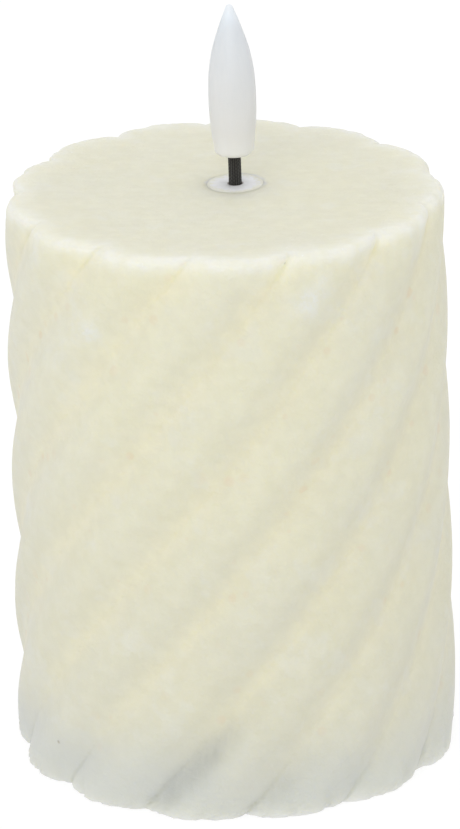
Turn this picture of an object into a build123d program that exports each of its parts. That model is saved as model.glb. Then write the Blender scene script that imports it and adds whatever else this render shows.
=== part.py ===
"""Battery candle: twisted, scalloped wax pillar with a bullet-shaped flame cap on a
black wick sleeve, over a round plastic base that holds two AA cells side by side.
Millimetres, +Z up, front is -Y. The origin is the centre of the foot of the pillar."""
from math import atan, cos, degrees, hypot, radians, sin, sqrt
import os

from build123d import *

os.makedirs("parts", exist_ok=True)

# ---------------------------------------------------------------- wax pillar
pillar_height = 100.0
wax_wall = 4.9
groove_depth = 1.8
lobe_count = 13
twist_angle = 128.0
first_groove_angle = 22.2
wax_roof = 12.0
wax_ledge = 3.0
cavity_ceiling_fillet = 6.0
recess_mouth_chamfer = 0.8

# ---------------------------------------------------------------- flame and wick
wick_x = 1.9
wick_y = 2.4
wick_lean = 0.6
wick_exposed = 5.3
flame_height = 26.4
flame_radius = 4.02
flame_foot_rim = 0.15
flame_foot_slope = 0.22
flame_tip_slope = 0.42
flame_tip_radius = 0.65
# side of the flame, as shares of its radius and of its height
flame_shape = [(0.84, 0.045), (0.96, 0.2), (1, 0.375), (0.955, 0.545), (0.785, 0.7), (0.47, 0.855)]
flame_wall = 0.9
sleeve_wall = 0.35
sleeve_leg_clearance = 0.13
sleeve_depth = 6.0
collar_flange_radius = 4.75
collar_flange_thickness = 1.5
collar_tube_wall = 1.8
collar_tube_length = 16.0
collar_clearance = 0.05
led_flange_radius = 2.0
led_flange_thickness = 0.9
led_body_radius = 1.5
led_body_length = 4.4
cap_lip_height = 0.7
leg_radius = 0.22
leg_offset = 0.4
leg_spread = 1.6
leg_length = 24.0
leg_bend_drop = 2.4
leg_bend_radius = 1.0
splice_radius = 1.1
splice_length = 10.0
splice_overlap = 2.5

# ---------------------------------------------------------------- cells
cell_radius = 7.25
cell_length = 50.5
cell_nub_radius = 2.75
cell_nub_length = 1.0
cell_edge_fillet = 0.5
cell_gap = 0.5
cell_side_clearance = 0.35
cell_floor_clearance = 0.4
cell_roof_clearance = 0.3
cell_corner_clearance = 0.38
plate_thickness = 0.4
plate_width = 9.0
plate_foot_clearance = 1.0
plate_roof_clearance = 0.7
tab_width = 2.4
tab_reach = 1.2
tab_slot_clearance = 0.1
spring_length = 3.1
spring_wire_radius = 0.3
spring_base_radius = 3.4
spring_tip_radius = 1.8
spring_turns = 3
spring_bends_per_turn = 8
spring_bend_share = 0.85

# ---------------------------------------------------------------- base housing and cover
housing_foot_z = 0.8
housing_wall = 1.4
housing_floor = 1.6
housing_clearance = 0.2
cover_thickness = 2.0
cover_rim_depth = 1.2
cover_rim_thickness = 1.0
wire_hole_radius = 2.2
housing_foot_fillet = 0.6
lead_room = 1.8
board_room = 13.7
bay_wall = 1.3
bay_roof_thickness = 1.4
boss_radius = 2.2
boss_gap = 1.0
boss_wall_gap = 0.25
screw_radius = 0.95
screw_hole_radius = 1.0
screw_head_radius = 2.0
screw_head_height = 1.3
screw_length = 8.4
screw_recess_length = 2.0
screw_recess_width = 0.45
screw_recess_depth = 0.7

# ---------------------------------------------------------------- door, hinge and latch
opening_end_margin = 1.4
opening_side_margin = 0.2
opening_rim_step = 0.1
door_clearance = 0.25
door_hinge_clearance = 0.4
hinge_setback = 1.6
hinge_spots = [14.0, -14.0]
knuckle_radius = 1.15
knuckle_half_width = 3.0
knuckle_clearance = 0.2
hinge_pin_radius = 0.8
hinge_pin_reach = 1.2
hinge_pin_clearance = 0.1
hinge_cheek_width = 1.8
hinge_swing_clearance = 0.75
cheek_rise = 2.0
latch_half_width = 5.0
latch_thickness = 1.0
latch_setback = 1.7
latch_fold_depth = 4.0
latch_height = 8.2
latch_finger_gap = 1.2
latch_side_clearance = 0.4
latch_tongue_clearance = 0.2
rib_length = 12.0
rib_width = 0.7
rib_pitch = 1.6
rib_count = 3
rib_setback = 5.15
rib_depth = 0.4

# ---------------------------------------------------------------- board and switch
board_gap = 1.2
board_edge_clearance = 0.9
board_half_length = 17.0
board_thickness = 1.2
post_x = 13.0
post_setback = 4.4
switch_setback = 4.9
pocket_length = 14.0
pocket_width = 7.6
pocket_corner = 1.0
pocket_rise = 0.4
pocket_wall = 1.2
slot_length = 7.4
slot_width = 3.0
slider_length = 2.6
slider_width = 2.0
slider_recess = 0.5
slider_engagement = 1.2
slider_groove_depth = 0.35
slider_travel = 2.0
slider_clearance = 0.1
case_length = 8.6
case_width = 4.4
case_height = 3.6
dimple_radius = 0.5
dimple_depth = 0.3
dimple_setback = 5.3
chip_x = -5.5
chip_setback = 7.0
chip_length = 5.0
chip_width = 3.9
chip_height = 1.45
chip_leg_pitch = 1.27
capacitor_x = 8.0
capacitor_setback = 6.6
capacitor_radius = 2.5
capacitor_height = 7.0
resistor_setback = 1.8
resistor_lift = 1.3
resistor_radius = 0.9
resistor_half_length = 2.0
resistor_leg_x = 3.6
crystal_x = 1.2
crystal_setback = 4.4
crystal_radius = 1.0
crystal_length = 5.2

# ---------------------------------------------------------------- wires
lead_radius = 0.5
lead_roof_gap = 0.25
lead_bend = 1.5
pad_setback = 1.7
led_red_pad_x = -9.4
led_black_pad_x = -11.8
battery_red_pad_x = 10.6
battery_black_pad_x = 14.6

# ---------------------------------------------------------------- sizes that follow
floor_top_z = housing_foot_z + housing_floor
cell_y = cell_radius + cell_gap / 2
cell_axis_z = floor_top_z + cell_floor_clearance + cell_radius
contact_face_x = (cell_length + spring_length) / 2
cell_flat_x = cell_length - contact_face_x

bay_half_width = cell_y + cell_radius + cell_side_clearance
bay_outer_half_width = bay_half_width + bay_wall
bay_half_length = contact_face_x + plate_thickness
bay_roof_z = cell_axis_z + cell_radius + cell_roof_clearance
bay_top_z = bay_roof_z + bay_roof_thickness
plate_foot_z = floor_top_z + plate_foot_clearance
plate_top_z = bay_roof_z - plate_roof_clearance
tab_top_z = bay_top_z + tab_reach
lead_run_z = bay_top_z + lead_roof_gap + lead_radius

# the round housing has to clear the corners of the cells and the board beside them
cell_corner_reach = hypot(contact_face_x - cell_nub_length, cell_y + cell_radius)
housing_inner_radius = max(
    cell_corner_reach + cell_corner_clearance, bay_outer_half_width + board_room
)
housing_radius = housing_inner_radius + housing_wall
housing_top_z = bay_top_z + lead_room
cover_top_z = housing_top_z + cover_thickness
recess_radius = housing_radius + housing_clearance
cavity_radius = housing_radius - wax_ledge
valley_radius = recess_radius + wax_wall
crest_radius = valley_radius + groove_depth
lobe_pitch = 360.0 / lobe_count

opening_half_length = bay_half_length + opening_end_margin
opening_half_width = bay_half_width + opening_side_margin
opening_radius = housing_inner_radius - opening_rim_step
hinge_y = opening_half_width + hinge_setback
hinge_z = housing_foot_z + knuckle_radius
notch_far_y = hinge_y + knuckle_radius + hinge_swing_clearance
cheek_top_z = hinge_z + cheek_rise
latch_near_y = opening_half_width + latch_setback
latch_far_y = latch_near_y + latch_fold_depth
latch_notch_y = latch_far_y + latch_finger_gap
latch_top_z = housing_foot_z + latch_height

front_boss_y = bay_outer_half_width + boss_gap + boss_radius
front_boss_x = sqrt((housing_inner_radius - boss_radius - boss_wall_gap) ** 2 - front_boss_y**2)
rear_boss_y = -(latch_notch_y + boss_gap + boss_radius)
boss_spots = [(front_boss_x, front_boss_y), (-front_boss_x, front_boss_y), (0, rear_boss_y)]

board_near_y = bay_outer_half_width + board_gap
board_radius = housing_inner_radius - board_edge_clearance
pocket_ceiling_z = floor_top_z + pocket_rise
case_foot_z = pocket_ceiling_z + pocket_wall + slider_clearance
board_foot_z = case_foot_z + case_height
board_top_z = board_foot_z + board_thickness
post_y = board_near_y + post_setback
post_spots = [(post_x, post_y), (-post_x, post_y)]
switch_y = board_near_y + switch_setback
slider_foot_z = housing_foot_z + slider_recess
slider_top_z = case_foot_z + slider_engagement
chip_y = board_near_y + chip_setback
capacitor_y = board_near_y + capacitor_setback
resistor_y = board_near_y + resistor_setback
crystal_y = board_near_y + crystal_setback
pad_y = board_near_y + pad_setback

sleeve_bore = leg_offset + leg_radius + sleeve_leg_clearance
sleeve_radius = sleeve_bore + sleeve_wall
collar_bore = sleeve_bore + collar_clearance
collar_tube_radius = sleeve_radius + collar_clearance + collar_tube_wall
seat_radius = led_flange_radius + collar_clearance
flame_foot_flat = seat_radius + flame_foot_rim
flame_outline = [(flame_radius * across, flame_height * up) for across, up in flame_shape]
lean = radians(wick_lean)
wick_plane = Plane(
    origin=(wick_x, wick_y, pillar_height),
    x_dir=(cos(lean), 0, sin(lean)),
    z_dir=(-sin(lean), 0, cos(lean)),
)


def wick_level(height):
    """Plane square to the wick, this far above the top of the wax."""
    return wick_plane.offset(height)


def wick_point(across, height):
    """Point in the plane of the two LED legs, given along and across the wick."""
    return wick_plane.from_local_coords((across, 0, height))


def around(radius, angle):
    return (radius * cos(radians(angle)), radius * sin(radians(angle)))


def save(part, label):
    part.label = label
    export_step(part, "parts/" + label + ".step")


def round_wire(points, radii, radius):
    """Solid round wire: straight runs joined by tangent arcs."""
    with BuildPart() as wire:
        with BuildLine() as route:
            FilletPolyline(*points, radius=radii)
        with BuildSketch(Plane(origin=route.line @ 0, z_dir=route.line % 0)):
            Circle(radius)
        sweep(path=route.line)
    return wire.part


# ---------------------------------------------------------------- wax pillar
with BuildSketch() as scallop:
    with BuildLine():
        for lobe in range(lobe_count):
            start = first_groove_angle + lobe * lobe_pitch
            ThreePointArc(
                around(valley_radius, start),
                around(crest_radius, start + lobe_pitch / 2),
                around(valley_radius, start + lobe_pitch),
            )
    make_face()
twisted = Solid.extrude_linear_with_rotation(
    scallop.sketch.face(), (0, 0, 0), (0, 0, pillar_height), twist_angle
)

with BuildPart() as wax_pillar:
    add(twisted)
    with BuildSketch():
        Circle(recess_radius)
    extrude(amount=cover_top_z, mode=Mode.SUBTRACT)
    with BuildSketch(Plane.XZ) as mouth:
        with BuildLine():
            Polyline(
                (0, 0),
                (recess_radius + recess_mouth_chamfer, 0),
                (recess_radius, recess_mouth_chamfer),
                (0, recess_mouth_chamfer),
                close=True,
            )
        make_face()
    revolve(axis=Axis.Z, mode=Mode.SUBTRACT)
    with BuildSketch(Plane.XZ) as cavity:
        with Locations((0, cover_top_z)):
            Rectangle(
                cavity_radius,
                pillar_height - wax_roof - cover_top_z,
                align=(Align.MIN, Align.MIN),
            )
        fillet(cavity.vertices().sort_by(Axis.Y)[-2:].sort_by(Axis.X)[-1], cavity_ceiling_fillet)
    revolve(axis=Axis.Z, mode=Mode.SUBTRACT)
    with BuildSketch(wick_level(1)):
        Circle(collar_flange_radius + collar_clearance)
    extrude(amount=-(collar_flange_thickness + 1), mode=Mode.SUBTRACT)
    with BuildSketch(wick_level(1)):
        Circle(collar_tube_radius + collar_clearance)
    extrude(amount=-(wax_roof + 3), mode=Mode.SUBTRACT)
save(wax_pillar.part, "wax_pillar")

# ---------------------------------------------------------------- collar, sleeve, LED, flame cap
with BuildPart() as wick_collar:
    with BuildSketch(wick_plane):
        Circle(collar_flange_radius)
    extrude(amount=-collar_flange_thickness)
    with BuildSketch(wick_plane):
        Circle(collar_tube_radius)
    extrude(amount=-collar_tube_length)
    with BuildSketch(wick_plane):
        Circle(sleeve_radius + collar_clearance)
    extrude(amount=-sleeve_depth, mode=Mode.SUBTRACT)
    with BuildSketch(wick_plane):
        Circle(collar_bore)
    extrude(amount=-collar_tube_length, mode=Mode.SUBTRACT)
save(wick_collar.part, "wick_collar")

with BuildPart() as wick_sleeve:
    with BuildSketch(wick_level(-sleeve_depth)):
        Circle(sleeve_radius)
        Circle(sleeve_bore, mode=Mode.SUBTRACT)
    extrude(amount=sleeve_depth + wick_exposed)
save(wick_sleeve.part, "wick_sleeve")

with BuildPart() as flame_led:
    with BuildSketch(wick_level(wick_exposed)):
        Circle(led_flange_radius)
    extrude(amount=led_flange_thickness)
    with BuildSketch(wick_level(wick_exposed)):
        Circle(led_body_radius)
    extrude(amount=led_body_length - led_body_radius)
    with Locations(wick_level(wick_exposed + led_body_length - led_body_radius)):
        Sphere(led_body_radius)
save(flame_led.part, "flame_led")

# the cap is drawn upright on the origin, then set on the wick
lip_top = led_flange_thickness + cap_lip_height
tip_angle = degrees(atan(flame_tip_slope))


def tip_start(radius, top):
    """Where a round tip of this radius, centred on the axis, meets the sloping side."""
    across, up = around(radius, tip_angle)
    return (across, top - radius + up)


flame_hollow = [(r - flame_wall, h) for r, h in flame_outline[1:-1]]
hollow_tip_radius = (flame_outline[-1][0] - flame_wall) / cos(radians(tip_angle))
hollow_tip_top = flame_outline[-1][1] - flame_wall + hollow_tip_radius * (1 - sin(radians(tip_angle)))
end_slopes = ((flame_foot_slope, 1), (-flame_tip_slope, 1))
hollow_foot = (flame_outline[0][0] - flame_wall, lip_top)
lip_radius = led_body_radius + 2 * collar_clearance
with BuildPart() as flame_cap:
    with BuildSketch(Plane.XZ):
        with BuildLine():
            Spline(
                *flame_outline, tip_start(flame_tip_radius, flame_height), tangents=end_slopes
            )
            CenterArc(
                (0, flame_height - flame_tip_radius), flame_tip_radius, tip_angle, 90 - tip_angle
            )
            Spline(
                hollow_foot,
                *flame_hollow,
                tip_start(hollow_tip_radius, hollow_tip_top),
                tangents=end_slopes,
            )
            CenterArc(
                (0, hollow_tip_top - hollow_tip_radius),
                hollow_tip_radius,
                tip_angle,
                90 - tip_angle,
            )
            Line((0, flame_height), (0, hollow_tip_top))
            TangentArc((flame_foot_flat, 0), flame_outline[0], tangent=(1, 0))
            Polyline(
                hollow_foot,
                (lip_radius, lip_top),
                (lip_radius, led_flange_thickness),
                (seat_radius, led_flange_thickness),
                (seat_radius, 0),
                (flame_foot_flat, 0),
            )
        make_face()
    revolve(axis=Axis.Z)
save(flame_cap.part.moved(wick_level(wick_exposed).location), "flame_cap")

# ---------------------------------------------------------------- LED legs, splices and leads
leg_bend_z = -(collar_tube_length + leg_bend_radius)


def leg_route(side):
    return [
        wick_point(side * leg_offset, wick_exposed),
        wick_point(side * leg_offset, leg_bend_z),
        wick_point(side * leg_spread, leg_bend_z - leg_bend_drop),
        wick_point(side * leg_spread, -leg_length),
    ]


led_legs = Compound(
    children=[
        round_wire(leg_route(side), [leg_bend_radius, leg_bend_radius], leg_radius)
        for side in (1, -1)
    ]
)
save(led_legs, "led_legs")

splice_top = -(leg_length - splice_overlap)
with BuildPart() as splice_sleeves:
    with BuildSketch(wick_level(splice_top)):
        with Locations((leg_spread, 0), (-leg_spread, 0)):
            Circle(splice_radius)
    extrude(amount=-splice_length)
    with BuildSketch(wick_level(splice_top)):
        with Locations((leg_spread, 0), (-leg_spread, 0)):
            Circle(leg_radius)
    extrude(amount=-(leg_length + splice_top), mode=Mode.SUBTRACT)
    with BuildSketch(wick_level(splice_top - splice_length)):
        with Locations((leg_spread, 0), (-leg_spread, 0)):
            Circle(lead_radius)
    extrude(amount=splice_length - (leg_length + splice_top), mode=Mode.SUBTRACT)
save(splice_sleeves.part, "splice_sleeves")


lead_drop_above_cover = 16.0
lead_turn_above_cover = 5.0
lead_hole_offset = 0.8
led_lead_radii = [4.0, 4.0, 1.0, 1.0]


def led_lead_route(side, pad_x):
    """From one LED leg down through the cover, across the bay roof and onto the board."""
    hole_x = side * lead_hole_offset
    return [
        wick_point(side * leg_spread, -leg_length),
        wick_point(side * leg_spread, -(pillar_height - cover_top_z - lead_drop_above_cover)),
        (hole_x, 0, cover_top_z + lead_turn_above_cover),
        (hole_x, 0, lead_run_z),
        (pad_x, pad_y, lead_run_z),
        (pad_x, pad_y, board_top_z),
    ]


save(round_wire(led_lead_route(1, led_red_pad_x), led_lead_radii, lead_radius), "led_lead_red")
save(round_wire(led_lead_route(-1, led_black_pad_x), led_lead_radii, lead_radius), "led_lead_black")

# ---------------------------------------------------------------- base housing
with BuildPart() as base_housing:
    with BuildSketch(Plane.XY.offset(housing_foot_z)):
        Circle(housing_radius)
    extrude(amount=housing_top_z - housing_foot_z)
    with BuildSketch(Plane.XY.offset(floor_top_z)):
        Circle(housing_inner_radius)
    extrude(amount=housing_top_z - floor_top_z, mode=Mode.SUBTRACT)
    # bay block, screw bosses, board posts, switch pocket and hinge cheeks
    with BuildSketch(Plane.XY.offset(floor_top_z)):
        Rectangle(2 * housing_radius, 2 * bay_outer_half_width)
        Circle(housing_inner_radius + housing_wall / 2, mode=Mode.INTERSECT)
    extrude(amount=bay_top_z - floor_top_z)
    with BuildSketch(Plane.XY.offset(floor_top_z)):
        with Locations(*boss_spots):
            Circle(boss_radius)
    extrude(amount=housing_top_z - floor_top_z)
    with BuildSketch(Plane.XY.offset(floor_top_z)):
        with Locations(*post_spots):
            Circle(boss_radius)
    extrude(amount=board_foot_z - floor_top_z)
    with BuildSketch(Plane.XY.offset(floor_top_z)):
        with Locations((0, switch_y)):
            Rectangle(pocket_length + 2 * pocket_wall, pocket_width + 2 * pocket_wall)
    extrude(amount=pocket_ceiling_z + pocket_wall - floor_top_z)
    cheek_half = knuckle_half_width + knuckle_clearance + hinge_cheek_width
    with BuildSketch(Plane.XY.offset(floor_top_z)):
        for spot in hinge_spots:
            with Locations((spot, (opening_half_width + notch_far_y) / 2)):
                Rectangle(2 * cheek_half, notch_far_y - opening_half_width)
    extrude(amount=cheek_top_z - floor_top_z)
    # battery bay and door opening
    with BuildSketch(Plane.XY.offset(floor_top_z)):
        Rectangle(2 * bay_half_length, 2 * bay_half_width)
        Circle(housing_inner_radius, mode=Mode.INTERSECT)
    extrude(amount=bay_roof_z - floor_top_z, mode=Mode.SUBTRACT)
    with BuildSketch(Plane.XY.offset(housing_foot_z)):
        Rectangle(2 * opening_half_length, 2 * opening_half_width)
        Circle(opening_radius, mode=Mode.INTERSECT)
    extrude(amount=housing_floor, mode=Mode.SUBTRACT)
    # hinge notches and pin sockets
    with BuildSketch(Plane.XY.offset(housing_foot_z)):
        for spot in hinge_spots:
            with Locations((spot, notch_far_y)):
                Rectangle(
                    2 * (knuckle_half_width + knuckle_clearance),
                    notch_far_y - bay_half_width + 0.1,
                    align=(Align.CENTER, Align.MAX),
                )
    extrude(amount=cheek_top_z - housing_foot_z, mode=Mode.SUBTRACT)
    for spot in hinge_spots:
        with BuildSketch(Plane.YZ.offset(spot)):
            with Locations((hinge_y, hinge_z)):
                Circle(hinge_pin_radius + hinge_pin_clearance)
        extrude(
            amount=knuckle_half_width + hinge_pin_reach + knuckle_clearance,
            both=True,
            mode=Mode.SUBTRACT,
        )
    # latch notch
    with BuildSketch(Plane.XY.offset(housing_foot_z)):
        with Locations((0, -latch_notch_y)):
            Rectangle(
                2 * (latch_half_width + latch_side_clearance),
                latch_notch_y - opening_half_width + 0.1,
                align=(Align.CENTER, Align.MIN),
            )
    extrude(amount=housing_floor, mode=Mode.SUBTRACT)
    # switch pocket and slot
    with BuildSketch(Plane.XY.offset(housing_foot_z)):
        with Locations((0, switch_y)):
            RectangleRounded(pocket_length, pocket_width, pocket_corner)
    extrude(amount=pocket_ceiling_z - housing_foot_z, mode=Mode.SUBTRACT)
    with BuildSketch(Plane.XY.offset(pocket_ceiling_z)):
        with Locations((0, switch_y)):
            Rectangle(slot_length, slot_width)
    extrude(amount=pocket_wall, mode=Mode.SUBTRACT)
    # one dimple and two dimples beside the ends of the switch travel
    with BuildSketch(Plane.XY.offset(housing_foot_z)):
        with Locations(*[(x, switch_y - dimple_setback) for x in (4.5, -3.8, -5.4)]):
            Circle(dimple_radius)
    extrude(amount=dimple_depth, mode=Mode.SUBTRACT)
    # screw pilots and contact tab slots
    with BuildSketch(Plane.XY.offset(housing_top_z)):
        with Locations(*boss_spots):
            Circle(screw_hole_radius)
    extrude(amount=-(screw_length + 1), mode=Mode.SUBTRACT)
    with BuildSketch(Plane.XY.offset(board_foot_z)):
        with Locations(*post_spots):
            Circle(screw_hole_radius)
    extrude(amount=-(board_foot_z - floor_top_z - 0.4), mode=Mode.SUBTRACT)
    with BuildSketch(Plane.XY.offset(bay_roof_z)):
        with Locations((bay_half_length, cell_y), (bay_half_length, -cell_y)):
            Rectangle(
                plate_thickness + 2 * tab_slot_clearance,
                tab_width + 4 * tab_slot_clearance,
                align=(Align.MAX, Align.CENTER),
            )
    extrude(amount=bay_roof_thickness, mode=Mode.SUBTRACT)
    foot_edge = base_housing.edges().filter_by(GeomType.CIRCLE).filter_by(
        lambda edge: abs(edge.radius - housing_radius) < 0.01
    ).sort_by(Axis.Z)[0]
    fillet(foot_edge, housing_foot_fillet)
save(base_housing.part, "base_housing")

# ---------------------------------------------------------------- housing cover and screws
with BuildPart() as housing_cover:
    with BuildSketch(Plane.XY.offset(housing_top_z)):
        Circle(housing_radius)
    extrude(amount=cover_thickness)
    with BuildSketch(Plane.XY.offset(housing_top_z)):
        Circle(housing_inner_radius - housing_clearance)
        Circle(housing_inner_radius - housing_clearance - cover_rim_thickness, mode=Mode.SUBTRACT)
        with Locations(*boss_spots):
            Circle(boss_radius + 0.3, mode=Mode.SUBTRACT)
    extrude(amount=-cover_rim_depth)
    with BuildSketch(Plane.XY.offset(cover_top_z)):
        Circle(wire_hole_radius)
        with Locations(*boss_spots):
            Circle(screw_hole_radius + 0.15)
    extrude(amount=-cover_thickness, mode=Mode.SUBTRACT)
    with BuildSketch(Plane.XY.offset(cover_top_z)):
        with Locations(*boss_spots):
            Circle(screw_head_radius + 0.2)
    extrude(amount=-(screw_head_height + 0.1), mode=Mode.SUBTRACT)
save(housing_cover.part, "housing_cover")


def pan_screws(spots, seat_z, length):
    """Cross-recess screws, heads seated on this level, all in one solid group."""
    with BuildPart() as screws:
        with BuildSketch(Plane.XY.offset(seat_z)):
            with Locations(*spots):
                Circle(screw_head_radius)
        extrude(amount=screw_head_height)
        head_edges = screws.edges().filter_by(GeomType.CIRCLE).group_by(Axis.Z)[-1]
        fillet(head_edges, 0.4)
        with BuildSketch(Plane.XY.offset(seat_z)):
            with Locations(*spots):
                Circle(screw_radius)
        extrude(amount=-length)
        with BuildSketch(Plane.XY.offset(seat_z + screw_head_height)):
            with Locations(*spots):
                Rectangle(screw_recess_length, screw_recess_width)
                Rectangle(screw_recess_width, screw_recess_length)
        extrude(amount=-screw_recess_depth, mode=Mode.SUBTRACT)
    return screws.part


cover_screw_seat_z = cover_top_z - screw_head_height - 0.1
save(pan_screws(boss_spots, cover_screw_seat_z, screw_length), "cover_screws")
save(pan_screws(post_spots, board_top_z, board_top_z - floor_top_z - 1.0), "board_screws")

# ---------------------------------------------------------------- battery door
latch_tongue_top_z = floor_top_z - latch_tongue_clearance
door_near_y = opening_half_width - door_hinge_clearance
door_far_y = opening_half_width - door_clearance
with BuildPart() as battery_door:
    with BuildSketch(Plane.XY.offset(housing_foot_z)):
        with Locations((0, -door_far_y)):
            Rectangle(
                2 * (opening_half_length - door_clearance),
                door_near_y + door_far_y,
                align=(Align.CENTER, Align.MIN),
            )
        Circle(opening_radius - door_clearance, mode=Mode.INTERSECT)
    extrude(amount=housing_floor)
    # finger ribs across the outside of the door
    with BuildSketch(Plane.XY.offset(housing_foot_z)):
        with Locations((0, -door_far_y + rib_setback)):
            with GridLocations(0, rib_pitch, 1, rib_count):
                SlotOverall(rib_length, rib_width)
    extrude(amount=rib_depth, mode=Mode.SUBTRACT)
    # hinge knuckles with their stub pins
    with BuildSketch(Plane.XY.offset(housing_foot_z)):
        for spot in hinge_spots:
            with Locations((spot, hinge_y)):
                Rectangle(
                    2 * knuckle_half_width,
                    hinge_y - door_near_y + 1,
                    align=(Align.CENTER, Align.MAX),
                )
    extrude(amount=housing_floor)
    for spot in hinge_spots:
        with BuildSketch(Plane.YZ.offset(spot)):
            with Locations((hinge_y, hinge_z)):
                Circle(knuckle_radius)
        extrude(amount=knuckle_half_width, both=True)
        with BuildSketch(Plane.YZ.offset(spot)):
            with Locations((hinge_y, hinge_z)):
                Circle(hinge_pin_radius)
        extrude(amount=knuckle_half_width + hinge_pin_reach, both=True)
    # folded spring latch
    with BuildSketch(Plane.YZ) as fold:
        with BuildLine():
            Polyline(
                (-door_far_y + 1, housing_foot_z),
                (-latch_near_y - latch_thickness, housing_foot_z),
                (-latch_near_y - latch_thickness, latch_top_z - latch_thickness),
                (-latch_far_y + latch_thickness, latch_top_z - latch_thickness),
                (-latch_far_y + latch_thickness, housing_foot_z),
                (-latch_far_y, housing_foot_z),
                (-latch_far_y, latch_top_z),
                (-latch_near_y, latch_top_z),
                (-latch_near_y, latch_tongue_top_z),
                (-door_far_y + 1, latch_tongue_top_z),
                close=True,
            )
        make_face()
        fillet(fold.vertices().group_by(Axis.Y)[-1], 0.9)
    extrude(amount=latch_half_width, both=True)
save(battery_door.part, "battery_door")


# ---------------------------------------------------------------- cells and contacts
def dry_cell(side):
    """AA cell with its button towards side * -X, lying at side * cell_y."""
    along = Plane(
        origin=(side * cell_flat_x, side * cell_y, cell_axis_z), z_dir=(-side, 0, 0)
    )
    with BuildPart() as cell:
        with BuildSketch(along):
            Circle(cell_radius)
        extrude(amount=cell_length - cell_nub_length)
        fillet(cell.edges().filter_by(GeomType.CIRCLE), cell_edge_fillet)
        with BuildSketch(along.offset(cell_length - cell_nub_length)):
            Circle(cell_nub_radius)
        extrude(amount=cell_nub_length)
    return cell.part


save(dry_cell(1), "battery_cell_1")
save(dry_cell(-1), "battery_cell_2")


def tabbed_plate(y):
    plate_face = Plane.YZ.offset(contact_face_x)
    with BuildPart() as plate:
        with BuildSketch(plate_face):
            with Locations((y, plate_foot_z)):
                Rectangle(
                    plate_width, plate_top_z - plate_foot_z, align=(Align.CENTER, Align.MIN)
                )
            with Locations((y, plate_foot_z)):
                Rectangle(tab_width, tab_top_z - plate_foot_z, align=(Align.CENTER, Align.MIN))
        extrude(amount=plate_thickness)
    return plate.part


save(tabbed_plate(cell_y), "negative_plate")
save(tabbed_plate(-cell_y), "positive_plate")

with BuildPart() as bridge_plate:
    with BuildSketch(Plane.YZ.offset(-contact_face_x)):
        with Locations((0, plate_foot_z)):
            Rectangle(
                2 * cell_y + plate_width,
                plate_top_z - plate_foot_z,
                align=(Align.CENTER, Align.MIN),
            )
    extrude(amount=-plate_thickness)
save(bridge_plate.part, "bridge_plate")


def cone_spring(side):
    """Conical spring from the contact plate to the flat end of one cell."""
    rise = spring_length - 2 * spring_wire_radius
    bends = spring_turns * spring_bends_per_turn
    points = []
    radii = []
    for bend in range(bends + 1):
        share = bend / bends
        turn = 360.0 * spring_turns * share
        coil_radius = spring_base_radius + (spring_tip_radius - spring_base_radius) * share
        across, up = around(coil_radius, turn)
        points.append(
            (
                side * (contact_face_x - spring_wire_radius - rise * share),
                side * cell_y + across,
                cell_axis_z + side * up,
            )
        )
        radii.append(coil_radius * spring_bend_share)
    return round_wire(points, radii[1:-1], spring_wire_radius)


save(cone_spring(1), "negative_spring")
save(cone_spring(-1), "bridge_spring")

# ---------------------------------------------------------------- control board
with BuildPart() as control_board:
    with BuildSketch(Plane.XY.offset(board_foot_z)):
        with Locations((0, board_near_y)):
            Rectangle(2 * board_half_length, board_radius, align=(Align.CENTER, Align.MIN))
        Circle(board_radius, mode=Mode.INTERSECT)
        with Locations(*post_spots):
            Circle(screw_hole_radius + 0.1, mode=Mode.SUBTRACT)
    extrude(amount=board_thickness)
save(control_board.part, "control_board")

with BuildPart() as timer_chip:
    with BuildSketch(Plane.XY.offset(board_top_z + 0.15)):
        with Locations((chip_x, chip_y)):
            Rectangle(chip_length, chip_width)
    extrude(amount=chip_height)
    chamfer(timer_chip.edges().group_by(Axis.Z)[-1], 0.3)
    with BuildSketch(Plane.XY.offset(board_top_z)):
        with Locations((chip_x, chip_y)):
            with GridLocations(chip_leg_pitch, chip_length, 4, 2):
                Rectangle(0.42, 1.1)
    extrude(amount=0.25)
save(timer_chip.part, "timer_chip")

with BuildPart() as smoothing_capacitor:
    with BuildSketch(Plane.XY.offset(board_top_z)):
        with Locations((capacitor_x, capacitor_y)):
            Circle(capacitor_radius)
    extrude(amount=capacitor_height)
    fillet(smoothing_capacitor.edges().filter_by(GeomType.CIRCLE), 0.35)
    with BuildSketch(Plane.XY.offset(board_top_z + 0.9)):
        with Locations((capacitor_x, capacitor_y)):
            Circle(capacitor_radius)
            Circle(capacitor_radius - 0.25, mode=Mode.SUBTRACT)
    extrude(amount=0.5, mode=Mode.SUBTRACT)
save(smoothing_capacitor.part, "smoothing_capacitor")

with BuildPart() as timing_resistor:
    with BuildSketch(Plane.YZ.offset(-resistor_half_length)):
        with Locations((resistor_y, board_top_z + resistor_lift)):
            Circle(resistor_radius)
    extrude(amount=2 * resistor_half_length)
    fillet(timing_resistor.edges().filter_by(GeomType.CIRCLE), 0.4)
    with BuildLine() as resistor_lead:
        FilletPolyline(
            (-resistor_leg_x, resistor_y, board_top_z),
            (-resistor_leg_x, resistor_y, board_top_z + resistor_lift),
            (resistor_leg_x, resistor_y, board_top_z + resistor_lift),
            (resistor_leg_x, resistor_y, board_top_z),
            radius=0.6,
        )
    with BuildSketch(Plane(origin=resistor_lead.line @ 0, z_dir=resistor_lead.line % 0)):
        Circle(0.25)
    sweep(path=resistor_lead.line)
save(timing_resistor.part, "timing_resistor")

with BuildPart() as clock_crystal:
    with BuildSketch(Plane.XZ.offset(-crystal_y)):
        with Locations((crystal_x, board_top_z + crystal_radius)):
            Circle(crystal_radius)
    extrude(amount=-crystal_length)
    fillet(clock_crystal.edges().filter_by(GeomType.CIRCLE), 0.3)
save(clock_crystal.part, "clock_crystal")

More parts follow.
